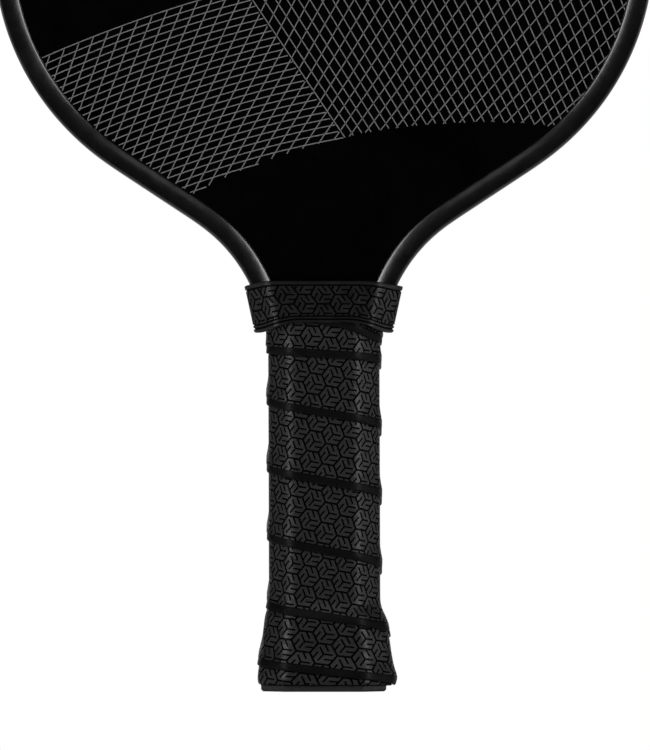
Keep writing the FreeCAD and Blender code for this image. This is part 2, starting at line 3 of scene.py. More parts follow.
import bmesh
import bpy
import numpy as np
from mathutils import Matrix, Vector
from mathutils.geometry import delaunay_2d_cdt


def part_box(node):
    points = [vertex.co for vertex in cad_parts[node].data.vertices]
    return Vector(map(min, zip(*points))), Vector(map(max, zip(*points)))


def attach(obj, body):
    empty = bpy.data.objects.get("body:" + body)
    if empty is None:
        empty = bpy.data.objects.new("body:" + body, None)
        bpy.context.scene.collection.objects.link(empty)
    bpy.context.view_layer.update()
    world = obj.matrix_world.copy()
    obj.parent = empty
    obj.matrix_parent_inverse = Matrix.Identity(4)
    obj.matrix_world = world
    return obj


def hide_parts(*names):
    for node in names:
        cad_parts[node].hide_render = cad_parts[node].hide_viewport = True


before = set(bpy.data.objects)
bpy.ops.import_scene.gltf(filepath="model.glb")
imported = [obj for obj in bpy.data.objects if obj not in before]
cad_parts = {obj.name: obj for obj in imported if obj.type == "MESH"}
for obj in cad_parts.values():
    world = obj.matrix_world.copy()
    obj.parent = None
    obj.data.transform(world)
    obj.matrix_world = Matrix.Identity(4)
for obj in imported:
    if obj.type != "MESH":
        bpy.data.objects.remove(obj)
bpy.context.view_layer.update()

# Everything below is worked out in millimetres, in the CAD part's frame, and made metres in the meshes.
MM = 0.001
WELD_DISTANCE = 1e-6
CREASE_ANGLE = math.radians(28)


def box_mm(node):
    """Lowest and highest corner of a CAD node, in millimetres."""
    low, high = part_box(node)
    return np.array(low) / MM, np.array(high) / MM


# ---------------------------------------------------------------- meshes

def new_mesh(name, points, faces, face_materials=None):
    """A mesh object that rides on the paddle, from points in millimetres."""
    mesh = bpy.data.meshes.new(name)
    mesh.from_pydata((np.asarray(points) * MM).tolist(), [], [tuple(face) for face in faces])
    mesh.validate()
    if face_materials is not None:
        mesh.polygons.foreach_set("material_index", face_materials)
    mesh.update()
    piece = bpy.data.objects.new(name, mesh)
    bpy.context.scene.collection.objects.link(piece)
    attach(piece, "root")
    return piece


def seal_embossed(piece, tone_and_groove_shade):
    """Welds an embossed piece, turns its faces outwards and stores its points' tone, grooves painted dark as
    shade.
    """
    piece.data.attributes.new("tone_and_groove_shade", "FLOAT", "POINT").data.foreach_set("value", tone_and_groove_shade.astype(np.float32))
    work = bmesh.new()
    work.from_mesh(piece.data)
    bmesh.ops.remove_doubles(work, verts=work.verts, dist=WELD_DISTANCE)
    bmesh.ops.recalc_face_normals(work, faces=work.faces)
    work.to_mesh(piece.data)
    work.free()
    piece.data.polygons.foreach_set("use_smooth", [True] * len(piece.data.polygons))
    piece.data.set_sharp_from_angle(angle=CREASE_ANGLE)


def smooth_curve(keys):
    """A smooth curve through (place, value) pairs that never overshoots them, straight beyond its ends."""
    places, values = (np.array(column, float) for column in zip(*keys))
    rise = np.diff(values) / np.diff(places)
    same_way = rise[:-1] * rise[1:] > 0
    mean = 2 * rise[:-1] * rise[1:] / np.where(same_way, rise[:-1] + rise[1:], 1.0)
    slopes = np.concatenate([rise[:1], np.where(same_way, mean, 0.0), rise[-1:]])

    def curve(at):
        at = np.asarray(at, float)
        i = np.clip(np.searchsorted(places, at) - 1, 0, len(places) - 2)
        width = places[i + 1] - places[i]
        t = np.clip((at - places[i]) / width, 0.0, 1.0)
        inside = (
            (1 + 2 * t) * (1 - t) ** 2 * values[i]
            + t * (1 - t) ** 2 * width * slopes[i]
            + t * t * (3 - 2 * t) * values[i + 1]
            + t * t * (t - 1) * width * slopes[i + 1]
        )
        before = np.minimum(at - places[0], 0.0) * slopes[0]
        after = np.maximum(at - places[-1], 0.0) * slopes[-1]
        return inside + before + after

    return curve


def ease(t):
    """0 below 0, 1 above 1, and a smooth step in between."""
    t = np.clip(t, 0.0, 1.0)
    return t * t * (3 - 2 * t)


# ---------------------------------------------------------------- the rounded octagon of the handle

def octagon_ring(share, half_width, half_depth, bevel, rounding):
    """Points on a rounded octagon and their outward normals.

    share runs from 0 to 1 once round, clockwise seen from above, from the front corner of the left side.
    All five are arrays of one length.
    """
    w, t, b = half_width, half_depth, bevel
    corner = np.array([
        (-w, b - t), (-w, t - b), (b - w, t), (w - b, t), (w, t - b), (w, b - t), (w - b, -t), (b - w, -t),
    ])
    travel = np.radians(90.0 - 45.0 * np.arange(8))
    outward = travel + math.pi / 2
    side = np.linalg.norm(np.roll(corner, -1, axis=0) - corner, axis=1)
    trim = rounding * math.tan(math.pi / 8)
    half_arc = rounding * math.pi / 8
    straight = side - 2 * trim
    reach = np.cumsum(straight + 2 * half_arc, axis=0)
    at = np.mod(share, 1.0) * reach[-1]
    i = (at[None, :] >= reach[:-1]).sum(axis=0)
    n = np.arange(len(at))
    start = np.where(i > 0, reach[i - 1, n], 0.0)
    past = at - start - half_arc
    along = np.clip(past, 0.0, straight[i, n])
    turn = outward[i] - (past - along) / rounding
    flat_out = np.stack([np.cos(outward[i]), np.sin(outward[i])], axis=1)
    flat_on = np.stack([np.cos(travel[i]), np.sin(travel[i])], axis=1)
    normal = np.stack([np.cos(turn), np.sin(turn)], axis=1)
    start_corner = corner[i, :, n]
    point = start_corner + flat_on * (trim + along)[:, None] + (normal - flat_out) * rounding[:, None]
    return point, normal


# ---------------------------------------------------------------- the embossed pattern: six-sided pads

PAD_SIDE = 3.62
PAD_APOTHEM = PAD_SIDE * math.sqrt(3) / 2
GAP = 0.40
SLIT_WIDTH = 0.34
SLIT_LENGTH = 2.35
PAD_BEVEL = 0.10
SMALLEST_PAD = 0.12
RAIL_CLEARANCE = 0.05
SAME_POINT = 1e-5
THIRDS = (0, 120, 240)


def heading(degrees):
    """The unit vector at an angle."""
    return np.array([math.cos(math.radians(degrees)), math.sin(math.radians(degrees))])


def pad_outline(inset):
    """A six-sided pad with a slit from the middle of every other side, around the origin."""
    reach = PAD_APOTHEM - GAP / 2 - inset
    half = SLIT_WIDTH / 2 + inset
    points = []
    for turn in THIRDS:
        along, aside, out = heading(turn + 120), heading(turn + 30), heading(turn + 90)
        middle = out * PAD_APOTHEM
        mouths = []
        for side in (1, -1):
            edge = aside * side * half
            mouths.append(middle + edge + along * (reach - PAD_APOTHEM - edge @ out) / (along @ out))
        ends = [middle - along * (SLIT_LENGTH + inset) + aside * side * half for side in (1, -1)]
        corners = [heading(turn + 60 * k) * reach / math.cos(math.radians(30)) for k in (0, 1)]
        points += [*corners, mouths[0], ends[0], ends[1], mouths[1]]
    return np.array(points)


def spoke_outline(inset):
    """The three-armed groove in the middle of a pad."""
    half = SLIT_WIDTH / 2 + inset
    points = []
    for turn in THIRDS:
        along, aside = heading(turn), heading(turn + 90)
        tip = along * (SLIT_LENGTH + inset)
        crotch = heading(turn + 60) * half / math.sin(math.radians(60))
        points += [tip - aside * half, tip + aside * half, crotch]
    return np.array(points)


def on_pad(x, y, margin):
    """Whether points of the pattern's plane lie on top of a pad, at least margin inside its outline."""
    nearest = np.full(len(x), np.inf)
    spot = np.zeros((len(x), 2))
    for odd in (0, 1):
        centre_x = (np.round((x / PAD_SIDE / 1.5 - odd) / 2) * 2 + odd) * 1.5 * PAD_SIDE
        centre_y = (np.round(y / PAD_APOTHEM / 2 - odd / 2) + odd / 2) * 2 * PAD_APOTHEM
        away = np.stack([x - centre_x, y - centre_y], axis=1)
        distance = np.hypot(*away.T)
        spot[distance < nearest] = away[distance < nearest]
        nearest = np.minimum(nearest, distance)
    half = SLIT_WIDTH / 2 + margin
    on = np.ones(len(x), bool)
    for turn in THIRDS:
        on &= np.abs(spot @ heading(turn + 90)) < PAD_APOTHEM - GAP / 2 - margin
        spoke = spot @ heading(turn)
        on &= (spoke < -half) | (spoke > SLIT_LENGTH + margin) | (np.abs(spot @ heading(turn + 90)) > half)
        from_edge = spot - heading(turn + 90) * PAD_APOTHEM
        into = -from_edge @ heading(turn + 120)
        on &= (into > SLIT_LENGTH + margin) | (into < -half) | (np.abs(from_edge @ heading(turn + 30)) > half)
    return on


def clip(outline, depth):
    """The part of a closed outline where depth, a function of x and y arrays, is positive."""
    d = depth(outline[:, 0], outline[:, 1])
    if (d >= 0).all():
        return outline
    kept = []
    for i in range(len(outline)):
        j = (i + 1) % len(outline)
        if d[i] >= 0:
            kept.append(outline[i])
        if (d[i] >= 0) != (d[j] >= 0):
            kept.append(outline[i] + (outline[j] - outline[i]) * d[i] / (d[i] - d[j]))
    return np.array(kept) if len(kept) > 2 else None


def area(outline):
    """Area inside a closed outline."""
    x, y = outline[:, 0], outline[:, 1]
    return abs(np.dot(x, np.roll(y, -1)) - np.dot(y, np.roll(x, -1))) / 2


def subdivided(outline, step):
    """The closed outline with its long edges cut into pieces no longer than step."""
    points = []
    for start, end in zip(outline, np.roll(outline, -1, axis=0)):
        count = max(1, math.ceil(np.linalg.norm(end - start) / step))
        points.extend(start + (end - start) * k / count for k in range(count))
    return np.array(points)


def triangulated(points, edges, inside):
    """Delaunay triangles that keep the edges, without those outside the region.

    Returns the points, the triangles and, for each point, the numbers of the given points it stands for.
    """
    made = delaunay_2d_cdt([Vector(point) for point in points], edges, [], 0, SAME_POINT)
    new_points = np.array([tuple(v) for v in made[0]])
    triangles = np.array(made[2])
    middle = new_points[triangles].mean(axis=1)
    return new_points, triangles[inside(middle[:, 0], middle[:, 1], 0.0)], made[3]


def rim_of(origins, count):
    """The new numbers of the first count given points."""
    place = {k: number for number, origin in enumerate(origins) for k in origin}
    return [place[k] for k in range(count)]


def embossed_sheet(border, limits, inside, step, rails):
    """Triangulates a region of the pattern's plane with its pads.

    border is the closed outline of the region, limits are depth functions that the pads keep inside of,
    inside(x, y, margin) says where loose points may lie, and rails are the heights of moulded lines.
    Returns the points, their level (1 on top of a pad, 0 in a groove or on plain tape), the triangles and
    the numbers of the border's points.
    """
    margin = 0.25
    low, high = border.min(axis=0), border.max(axis=0)
    loops = [border]
    levels = [np.zeros(len(border))]
    first_column, first_row = np.floor(low / (1.5 * PAD_SIDE, 2 * PAD_APOTHEM)).astype(int) - 1
    last_column, last_row = np.ceil(high / (1.5 * PAD_SIDE, 2 * PAD_APOTHEM)).astype(int) + 1
    shapes = [(shape(0.0), shape(PAD_BEVEL)) for shape in (pad_outline, spoke_outline)]
    for column in range(first_column, last_column + 1):
        for row in range(first_row, last_row + 1):
            centre = np.array([1.5 * PAD_SIDE * column, 2 * PAD_APOTHEM * (row + 0.5 * (column % 2))])
            for foot, top in shapes:
                foot, top = foot + centre, top + centre
                for limit in limits:
                    foot = foot if foot is None else clip(foot, limit)
                    top = top if top is None else clip(top, lambda x, y: limit(x, y) - PAD_BEVEL)
                if foot is None or top is None or area(top) < SMALLEST_PAD:
                    continue
                for outline, level in ((foot, 0.0), (top, 1.0)):
                    outline = subdivided(outline, step)
                    loops.append(outline)
                    levels.append(np.full(len(outline), level))
    grid_x, grid_y = np.meshgrid(np.arange(low[0], high[0], step), np.arange(low[1], high[1], step))
    x, y = grid_x.ravel(), grid_y.ravel()
    within = inside(x, y, margin)
    x, y = x[within], y[within]
    pad = on_pad(x, y, PAD_BEVEL + margin)
    plain = np.zeros(len(x), bool)
    for limit in limits:
        pad &= limit(x, y) > PAD_BEVEL + margin
        plain |= limit(x, y) < -margin
    for rail in rails:
        plain &= np.abs(y - rail) > margin / 2
    loose = np.stack([x, y], axis=1)[pad | plain]
    levels.append(pad[pad | plain].astype(float))
    edges, count = [], 0
    for loop in loops:
        edges.extend((count + k, count + (k + 1) % len(loop)) for k in range(len(loop)))
        count += len(loop)
    count += len(loose)
    lines = []
    for rail in rails:
        x = np.arange(low[0], high[0], step / 2)
        x = x[inside(x, np.full(len(x), rail), RAIL_CLEARANCE)]
        edges.extend((count + k, count + k + 1) for k in range(len(x) - 1) if x[k + 1] - x[k] < step)
        lines.append(np.column_stack([x, np.full(len(x), rail)]))
        levels.append(np.zeros(len(x)))
        count += len(x)
    points = np.concatenate(loops + [loose] + lines)
    level = np.concatenate(levels)
    new_points, triangles, origins = triangulated(points, edges, inside)
    new_level = np.array([max((level[k] for k in origin), default=0.0) for origin in origins])
    return new_points, new_level, triangles, rim_of(origins, len(border))


# ---------------------------------------------------------------- the wrapped grip tape

(_, _, TAPE_BOTTOM), (_, _, TAPE_TOP) = box_mm("grip_tape")
PALLET_LOW, PALLET_HIGH = box_mm("front_handle_pallet")
WRAPPING = 1.8
HANDLE_HALF_WIDTH = PALLET_HIGH[0] + WRAPPING
HANDLE_HALF_DEPTH = WRAPPING - PALLET_LOW[1]
HANDLE_BEVEL = 6.4
HANDLE_ROUNDING = 6.5
BEVEL_GROWTH = 0.35
TURN_LENGTH = 113.0
SMALL_TURN = 1e-3
STRIP_HEIGHT = 2.3
STRIP_TONE = 0.12
OVERLAP = 3.2
GROOVE = 0.32
TAPE_THICKNESS = 1.7

# Each turn's lower edge stands out by LIP and settles over LIP_FADE; its very edge is rounded off.
LIP = 0.95
LIP_FADE = 7.5
EDGE_DROP = 0.14
EDGE_WIDTH = 0.3

# The upper edge of a turn sinks at TUCK_SLOPE, from TUCK_START before it goes under the next turn.
TUCK_SLOPE = 0.25
TUCK_START = 0.6

# The first turn is drawn in at the butt end.
HEM_DEPTH = 0.5
HEM_HEIGHT = 1.2
HEM_PLAIN = 0.3

# Height of the tape's lower edge against the turns made, counted at the front left edge of the handle.
lower_edge = smooth_curve([
    (-1.4, -14.5), (-0.35, 2.3), (0.0, 7.9), (0.65, 18.7), (1.0, 25.2), (1.65, 38.5), (2.0, 46.0),
    (2.65, 59.9), (3.0, 67.0), (3.65, 81.1), (4.0, 87.6), (4.65, 100.9), (5.0, 103.6), (5.65, 107.2),
    (5.8, 112.0), (6.0, 114.6), (7.0, 121.0),
])
FIRST_TURN = -1.38
LAST_TURN = 5.9
SETTLING_ROUNDS = 12

# How far the butt end stands out past the straight part of the handle.
flare = smooth_curve([
    (1.8, 3.75), (4.0, 4.0), (8.5, 3.5), (12.2, 2.9), (15.8, 2.5), (19.5, 1.9), (23.2, 1.25), (26.5, 0.25),
    (28.5, 0.0), (104.0, 0.0), (114.6, 1.2),
])

# The tape is wound a little thicker on the right of the butt end.
lean = smooth_curve([(1.8, 0.8), (10.0, 0.8), (26.0, 0.3), (60.0, 0.2), (114.0, 0.0)])


def path_table():
    """Turns against distance along the tape's lower edge, from a little before its start to past its end."""
    spare = 0.3
    turns = np.linspace(FIRST_TURN - spare, LAST_TURN + spare, 4000)
    steps = np.hypot(np.diff(turns) * TURN_LENGTH, np.diff(lower_edge(turns)))
    return turns, np.concatenate([[0.0], np.cumsum(steps)])


TURNS, RUN = path_table()


def climb(turn):
    """How steeply the tape's lower edge rises."""
    return (lower_edge(turn + SMALL_TURN) - lower_edge(turn - SMALL_TURN)) / (2 * SMALL_TURN * TURN_LENGTH)


def unrolled(x, y):
    """Turns and height of a point of the tape: x runs back along it, y across it from its lower edge."""
    turn = np.interp(-x, RUN, TURNS)
    rise = climb(turn)
    length = np.hypot(1.0, rise)
    return turn - y * rise / length / TURN_LENGTH, lower_edge(turn) + y / length


def past_next_turn(x, y):
    """How far a point of the tape reaches above the lower edge of the turn that covers it."""
    turn, height = unrolled(x, y)
    return height - lower_edge(turn + 1.0)


def grip_surface(turn, height, offset):
    """The place of points that stand offset outside the nominal surface of the wrapped handle."""
    extra = flare(height)
    bevel = HANDLE_BEVEL + BEVEL_GROWTH * extra
    rounding = np.full(len(turn), HANDLE_ROUNDING)
    point, normal = octagon_ring(turn, HANDLE_HALF_WIDTH + extra, HANDLE_HALF_DEPTH + extra, bevel, rounding)
    spot = point + normal * offset[:, None]
    spot[:, 0] += lean(height)
    return np.column_stack([spot, height])


def tape_border(step):
    """The outline of the whole tape in the pattern's plane, and its low and high edges against x.

    The high edge is where the tape is OVERLAP under the next turn, found in a few rounds.
    """
    turns = np.linspace(FIRST_TURN, LAST_TURN, int((LAST_TURN - FIRST_TURN) * TURN_LENGTH / step))
    x = -np.interp(turns, TURNS, RUN)
    rise = climb(turns)
    length = np.hypot(1.0, rise)
    low = np.maximum(0.0, (TAPE_BOTTOM - lower_edge(turns)) * length)
    high = low + 1.0
    for _ in range(SETTLING_ROUNDS):
        here = turns - high * rise / length / TURN_LENGTH
        ceiling = np.minimum(lower_edge(here + 1.0) + OVERLAP, TAPE_TOP)
        high = (ceiling - lower_edge(turns)) * length
    end_step = 1.2
    first_end = np.arange(low[0] + end_step, high[0] - end_step / 2, end_step)[::-1]
    last_end = np.arange(low[-1] + end_step, high[-1] - end_step / 2, end_step)
    lower = np.column_stack([x, low])
    upper = np.column_stack([x, high])[::-1]
    left = np.column_stack([np.full(len(last_end), x[-1]), last_end])
    right = np.column_stack([np.full(len(first_end), x[0]), first_end])
    return np.concatenate([lower, left, upper, right]), (x[::-1], low[::-1], high[::-1])


def grip_wrap():
    """The tape: one long embossed ribbon wound up the handle, each turn over the edge of the one before."""
    step, lining_step, lining_margin = 1.5, 2.5, 0.6
    border, (edge_x, edge_low, edge_high) = tape_border(step)
    low, high = border.min(axis=0), border.max(axis=0)

    def inside(x, y, margin):
        along = (x > edge_x[0] + margin) & (x < edge_x[-1] - margin)
        above = y > np.interp(x, edge_x, edge_low) + margin
        below = y < np.interp(x, edge_x, edge_high) - margin
        return along & above & below

    plain_at_bottom, plain_at_top, plain_when_covered = 0.35, 0.4, 0.8
    limits = [
        lambda x, y: y - STRIP_HEIGHT,
        lambda x, y: unrolled(x, y)[1] - TAPE_BOTTOM - plain_at_bottom,
        lambda x, y: TAPE_TOP - plain_at_top - unrolled(x, y)[1],
        lambda x, y: OVERLAP - plain_when_covered - past_next_turn(x, y),
    ]
    rails = [EDGE_WIDTH, STRIP_HEIGHT - 0.15]
    points, level, triangles, rim = embossed_sheet(border, limits, inside, step, rails)
    x, y = points[:, 0], points[:, 1]
    turn, height = unrolled(x, y)
    covered = past_next_turn(x, y)
    hem = -HEM_DEPTH * np.clip(1.0 - (height - TAPE_BOTTOM) / HEM_HEIGHT, 0.0, 1.0) ** 2
    lip = LIP * (1.0 - ease(y / LIP_FADE))
    tuck = -TUCK_SLOPE * np.clip(covered + TUCK_START, 0.0, None)
    edge = -EDGE_DROP * np.clip(1.0 - y / EDGE_WIDTH, 0.0, 1.0) ** 2
    outer = grip_surface(turn, height, lip + tuck + hem + edge - GROOVE * (1.0 - level))
    strip = (y < STRIP_HEIGHT - PAD_BEVEL) | (height < TAPE_BOTTOM + HEM_PLAIN)
    # Tone: 1 on the pads, STRIP_TONE on the plain strips, and 0 in the grooves, which is painted shade.
    tone_and_groove_shade = np.where(strip, STRIP_TONE, level)

    columns, rows = np.arange(low[0], high[0], lining_step), np.arange(0.0, high[1], lining_step)
    grid_x, grid_y = (grid.ravel() for grid in np.meshgrid(columns, rows))
    within = inside(grid_x, grid_y, lining_margin)
    under = np.concatenate([points[rim], np.column_stack([grid_x[within], grid_y[within]])])
    count = len(rim)
    edges = [(k, (k + 1) % count) for k in range(count)]
    under, back, origins = triangulated(under, edges, inside)
    back_rim = rim_of(origins, count)
    turn, height = unrolled(under[:, 0], under[:, 1])
    lap, lap_depth, thickening = OVERLAP + 0.2, -0.13, 2.5
    depth = lap_depth - TUCK_SLOPE * np.clip(under[:, 1], 0.0, lap)
    depth = depth + (-TAPE_THICKNESS - depth) * ease((under[:, 1] - lap) / thickening)
    inner = grip_surface(turn, height, depth)

    shift = len(outer)
    faces = [tuple(face) for face in triangles]
    faces += [tuple(shift + k for k in reversed(face)) for face in back]
    for k in range(count):
        m = (k + 1) % count
        faces.append((rim[m], rim[k], shift + back_rim[k], shift + back_rim[m]))
    piece = new_mesh("grip_wrap", np.concatenate([outer, inner]), faces)
    seal_embossed(piece, np.concatenate([tone_and_groove_shade, np.full(len(inner), STRIP_TONE)]))
    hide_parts("grip_tape")
    return piece


# ---------------------------------------------------------------- the rubber collar

(_, _, COLLAR_BOTTOM), (COLLAR_HALF_WIDTH, COLLAR_HALF_DEPTH, COLLAR_TOP) = box_mm("grip_collar")
COLLAR_HEIGHT = 14.0
COLLAR_ROUND = 140.0
COLLAR_TAPER = 3.1
COLLAR_INSET = 0.3
COLLAR_LEAN = 0.7
COLLAR_BEVEL = 6.6
COLLAR_ROUNDING = 5.0
FRONT_CENTRE = 0.828
COLLAR_SEAM = FRONT_CENTRE + 0.5
RAIL_TONE = 0.85
# Below this level the collar's surface gets tone 0, painted dark as groove shade.
GROOVE_BED = -0.28


def collar_edge_heights(share):
    """Heights of the collar's bottom and top edges: both are higher over the flat faces of the handle."""
    from_middle = np.abs(np.mod((share - FRONT_CENTRE) * 2 + 0.5, 1.0) - 0.5) * COLLAR_ROUND / 2

    def edge(over_the_face, drop, start, width):
        return over_the_face - drop * ease((from_middle - start) / width)

    bottom = edge(over_the_face=COLLAR_BOTTOM + 2.5, drop=3.0, start=8.0, width=15.0)
    top = edge(over_the_face=COLLAR_TOP + 1.0, drop=1.6, start=13.0, width=14.0)
    return bottom, top


def collar_section(share, up, offset):
    """Points of the collar: up runs from 0 at its bottom edge to 1 at its top edge."""
    bottom, top = collar_edge_heights(share)
    half_width = COLLAR_HALF_WIDTH - COLLAR_TAPER * (1.0 - up)
    half_depth = COLLAR_HALF_DEPTH - COLLAR_INSET - COLLAR_LEAN * up
    zeros = np.zeros(len(share))
    point, normal = octagon_ring(share, half_width, half_depth, zeros + COLLAR_BEVEL, zeros + COLLAR_ROUNDING)
    return np.column_stack([point + normal * offset[:, None], bottom + (top - bottom) * up])


def collar_profile(y):
    """How far the moulded lines along the collar's two edges stand out, and where they bend."""
    keys = [
        (0.0, -0.25), (0.25, 0.12), (0.85, 0.12), (1.0, -0.3), (1.3, -0.3), (1.45, 0.02), (1.95, 0.02),
        (2.1, -GROOVE), (COLLAR_HEIGHT - 1.4, -GROOVE), (COLLAR_HEIGHT - 1.2, 0.1),
        (COLLAR_HEIGHT - 0.3, 0.1), (COLLAR_HEIGHT, -0.25),
    ]
    places, values = zip(*keys)
    return np.interp(y, places, values), places[1:-1]


def grip_collar():
    """The moulded ring over the top of the tape: embossed outside, closed inside against the neck."""
    count, step = 108, 1.4
    across = np.linspace(0.0, COLLAR_ROUND, count + 1)
    up = np.linspace(0.0, COLLAR_HEIGHT, 10)[1:-1]
    border = np.concatenate([
        np.column_stack([across, np.zeros(count + 1)]),
        np.column_stack([np.full(len(up), COLLAR_ROUND), up]),
        np.column_stack([across[::-1], np.full(count + 1, COLLAR_HEIGHT)]),
        np.column_stack([np.zeros(len(up)), up[::-1]]),
    ])

    def inside(x, y, margin):
        return (x > margin) & (x < COLLAR_ROUND - margin) & (y > margin) & (y < COLLAR_HEIGHT - margin)

    plain_below, plain_above, plain_at_seam = 2.35, 1.65, 0.3
    limits = [
        lambda x, y: y - plain_below,
        lambda x, y: COLLAR_HEIGHT - plain_above - y,
        lambda x, y: x - plain_at_seam,
        lambda x, y: COLLAR_ROUND - plain_at_seam - x,
    ]
    _, rails = collar_profile(np.zeros(1))
    points, level, triangles, rim = embossed_sheet(border, limits, inside, step, rails)
    x, y = points[:, 0], points[:, 1]
    profile, _ = collar_profile(y)
    share = COLLAR_SEAM - x / COLLAR_ROUND
    outer = collar_section(share, y / COLLAR_HEIGHT, profile + GROOVE * level)
    # Tone: 1 on the pads, RAIL_TONE on the moulded lines, and 0 in the sunken field and grooves, which is
    # painted shade.
    tone_and_groove_shade = np.where(level > 0.5, 1.0, np.where(profile > GROOVE_BED, RAIL_TONE, 0.0))

    ring_share = COLLAR_SEAM - across[:-1] / COLLAR_ROUND
    bottom, top = collar_edge_heights(ring_share)
    zeros = np.zeros(count)
    # The inside, from the bottom up: snug on the tape, over its end, in to the neck and up along it.
    inside_rings = (
        (18.4, 16.3, 6.0, bottom + 0.5),
        (19.7, 16.2, 6.0, zeros + TAPE_TOP + 0.6),
        (20.3, 9.4, 3.0, zeros + TAPE_TOP + 1.0),
        (23.6, 9.3, 3.0, top - 1.7),
    )
    rounding = zeros + 1.5
    rings = []
    for half_width, half_depth, bevel, height in inside_rings:
        point, _ = octagon_ring(ring_share, zeros + half_width, zeros + half_depth, zeros + bevel, rounding)
        rings.append(np.column_stack([point, height]))
    shift = len(outer)
    inner_tone = np.full(count * len(rings), RAIL_TONE)
    faces = [tuple(face) for face in triangles]
    loops = [[shift + r * count + k for k in range(count)] for r in range(len(rings))]
    bottom_rim = rim[:count]
    top_rim = [rim[count + 1 + len(up) + count - k] for k in range(count)]
    for near, far in zip([bottom_rim] + loops, loops + [top_rim]):
        for k in range(count):
            m = (k + 1) % count
            faces.append((near[k], near[m], far[m], far[k]))
    piece = new_mesh("grip_collar_moulding", np.concatenate([outer] + rings), faces)
    seal_embossed(piece, np.concatenate([tone_and_groove_shade, inner_tone]))
    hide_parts("grip_collar")
    return piece


# ---------------------------------------------------------------- the printed lines on the faces

FACE_LEVEL = box_mm("rear_face_sheet")[1][1]
INK_WIDTH = 0.31
INK_GAP = 0.005
INK_THICKNESS = 0.02
INK_STEP = 0.006
GUARD_REACH = 3.8

# The print ends below at an arc, and a slanting line parts its two fields.
ARC_CENTRE = (48.4, -15.4)
ARC_RADIUS = 190.0
PARTING_POINT = (6.4, 169.9)
PARTING_NORMAL = (27.2, 18.4)

# Straight lines are laid out where they pass this height, and drawn far enough to leave the face.
HEIGHT_KEPT = 197.08
LINE_REACH = 230.0
LINE_STEP = 0.5
STEEP_LINES = range(-24, 47)
CROSSING_LINES = range(60)
SHALLOW_LINES = range(60)
SHALLOW_START = -100.0
SHALLOW_END = 60.0


def face_outline():
    """The right half of the face sheet's outline, from bottom to top, in millimetres."""
    slack = 0.01
    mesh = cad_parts["front_face_sheet"].data
    points = np.array([v.co for v in mesh.vertices]) / MM
    points = points[(points[:, 1] < points[:, 1].min() + slack) & (points[:, 0] > slack)]
    outline = np.unique(np.round(points[:, [0, 2]], 3), axis=0)
    return outline[np.argsort(outline[:, 1])]


OUTLINE = face_outline()


def depth_in_face(x, z):
    """Distance of points from the edge of the face sheet, negative outside."""
    points = np.stack([np.abs(x), z], axis=1)
    top = np.array([[0.0, OUTLINE[-1, 1]]])
    corners = np.concatenate([OUTLINE, top])
    start, side = corners[:-1], np.diff(corners, axis=0)
    rest = points[:, None, :] - start[None]
    share = np.clip((rest * side).sum(axis=2) / (side ** 2).sum(axis=1), 0.0, 1.0)
    gap = np.linalg.norm(rest - share[..., None] * side, axis=2).min(axis=1)
    half_width = np.interp(z, OUTLINE[:, 1], OUTLINE[:, 0], left=0.0, right=0.0)
    return np.where(points[:, 0] < half_width, gap, -gap)


def printed(x, z):
    """Whether points are above the print's lower arc and clear of the edge guard."""
    from_arc = np.hypot(x - ARC_CENTRE[0], z - ARC_CENTRE[1]) - ARC_RADIUS
    return (from_arc > 0.0) & (depth_in_face(x, z) > GUARD_REACH)


def in_right_field(x, z):
    """Whether points are to the right of the line that parts the print's two fields."""
    return (x - PARTING_POINT[0]) * PARTING_NORMAL[0] + (z - PARTING_POINT[1]) * PARTING_NORMAL[1] > 0.0


def shallow_line(k, x):
    """Height of the left field's k-th shallow line; line 0 is the field's upper limit."""
    middle = 221.58 - 2.178 * k - 0.00083 * k * k
    return middle + (0.1895 + 0.000435 * k) * x - (0.001427 + 0.0000126 * k) * x * x


def straight_line(x_kept, degrees):
    """Points LINE_STEP apart along a line through (x_kept, HEIGHT_KEPT)."""
    along = np.arange(-LINE_REACH, LINE_REACH, LINE_STEP)
    turn = math.radians(degrees)
    return np.column_stack([x_kept + along * math.cos(turn), HEIGHT_KEPT + along * math.sin(turn)])


# Where the k-th steep line passes HEIGHT_KEPT, and its angle: the lines fan out to the right.
steep_place = smooth_curve([(0, -79.72), (10, -41.1), (20, 0.2), (30, 46.65), (38, 89.4)])
steep_angle = smooth_curve([(0, 71.3), (10, 66.3), (20, 59.2), (30, 50.15), (38, 43.1)])


def crossing_line(k):
    """The k-th line of the right field that crosses the steep ones."""
    return straight_line(-11.62 + 3.381 * k - 0.00536 * k * k, -56.14 - 0.493 * k + 0.00336 * k * k)


def print_lines():
    """The drawn stretches of every line: its points and its ink, 0 shallow, 1 steep on the left, 2 right."""
    stretches = []
    fewest_points = 4

    def keep(line, shown, ink):
        numbers = np.flatnonzero(shown)
        for run in np.split(numbers, np.flatnonzero(np.diff(numbers) > 1) + 1):
            if len(run) >= fewest_points:
                stretches.append((line[run], ink))

    for k in STEEP_LINES:
        line = straight_line(steep_place(k), steep_angle(k))
        x, z = line.T
        right = in_right_field(x, z)
        keep(line, printed(x, z) & right, 2)
        keep(line, printed(x, z) & ~right & (z < shallow_line(0, x)), 1)
    for k in CROSSING_LINES:
        line = crossing_line(k)
        x, z = line.T
        keep(line, printed(x, z) & in_right_field(x, z), 2)
    x = np.arange(SHALLOW_START, SHALLOW_END, LINE_STEP)
    for k in SHALLOW_LINES:
        z = shallow_line(k, x)
        keep(np.column_stack([x, z]), printed(x, z) & ~in_right_field(x, z), 0)
    return stretches


